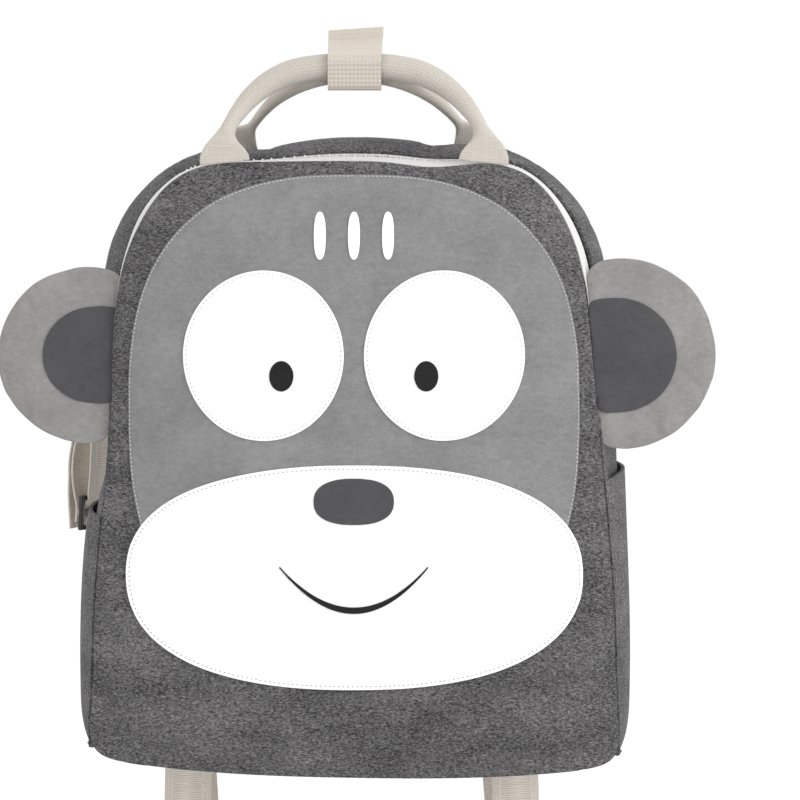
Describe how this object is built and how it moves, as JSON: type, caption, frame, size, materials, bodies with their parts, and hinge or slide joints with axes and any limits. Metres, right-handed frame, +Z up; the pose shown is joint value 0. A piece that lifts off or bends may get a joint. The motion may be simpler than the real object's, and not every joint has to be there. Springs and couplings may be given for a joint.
{
  "type": "kids animal backpack",
  "caption": "Small hollow cloth backpack with an animal face in applique, round ears, rolled top handles in a wrap, side pockets, zip and padded shoulder straps.",
  "frame": {"origin": "middle of the underside of the handle wrap, where a hook or a hand carries the bag", "axes": "+Z up, -Y out of the front of the bag, +X to the right of someone who looks at the front"},
  "size_m": [0.3602, 0.1594, 0.4282],
  "materials": {
    "marl_cloth": "dark grey marl",
    "head_canvas": "mid grey canvas",
    "ear_canvas": "light grey canvas",
    "dark_canvas": "dark grey canvas",
    "white_canvas": "white canvas",
    "black_print": "black canvas",
    "cotton_webbing": "natural cotton webbing",
    "zip_tape": "white woven tape",
    "zip_teeth": "white plastic coil",
    "zip_metal": "plain nickel",
    "strap_plastic": "black moulded plastic"
  },
  "bodies": {
    "root": {"front_panel": "marl_cloth", "back_panel": "marl_cloth", "lower_gusset": "marl_cloth", "upper_gusset": "marl_cloth", "zip_tape_front": "zip_tape", "zip_tape_back": "zip_tape", "zip_coil": "zip_teeth", "zip_slider": "zip_metal", "side_pocket_right": "marl_cloth", "side_pocket_left": "marl_cloth", "ear_right": "ear_canvas", "ear_left": "ear_canvas", "ear_inner_right": "dark_canvas", "ear_inner_left": "dark_canvas", "head_patch": "head_canvas", "muzzle_patch": "white_canvas", "eye_patch_left": "white_canvas", "eye_patch_right": "white_canvas", "eye_left": "black_print", "eye_right": "black_print", "nose": "dark_canvas", "smile": "black_print", "forehead_stripe_left": "white_canvas", "forehead_stripe_middle": "white_canvas", "forehead_stripe_right": "white_canvas", "front_handle": "cotton_webbing", "back_handle": "cotton_webbing", "handle_wrap": "cotton_webbing", "shoulder_pad_right": "marl_cloth", "shoulder_pad_left": "marl_cloth", "strap_webbing_right": "cotton_webbing", "strap_webbing_left": "cotton_webbing", "ring_tab_right": "cotton_webbing", "ring_tab_left": "cotton_webbing", "strap_ring_right": "strap_plastic", "strap_ring_left": "strap_plastic", "strap_slider_right": "strap_plastic", "strap_slider_left": "strap_plastic"}
  },
  "joints": []
}
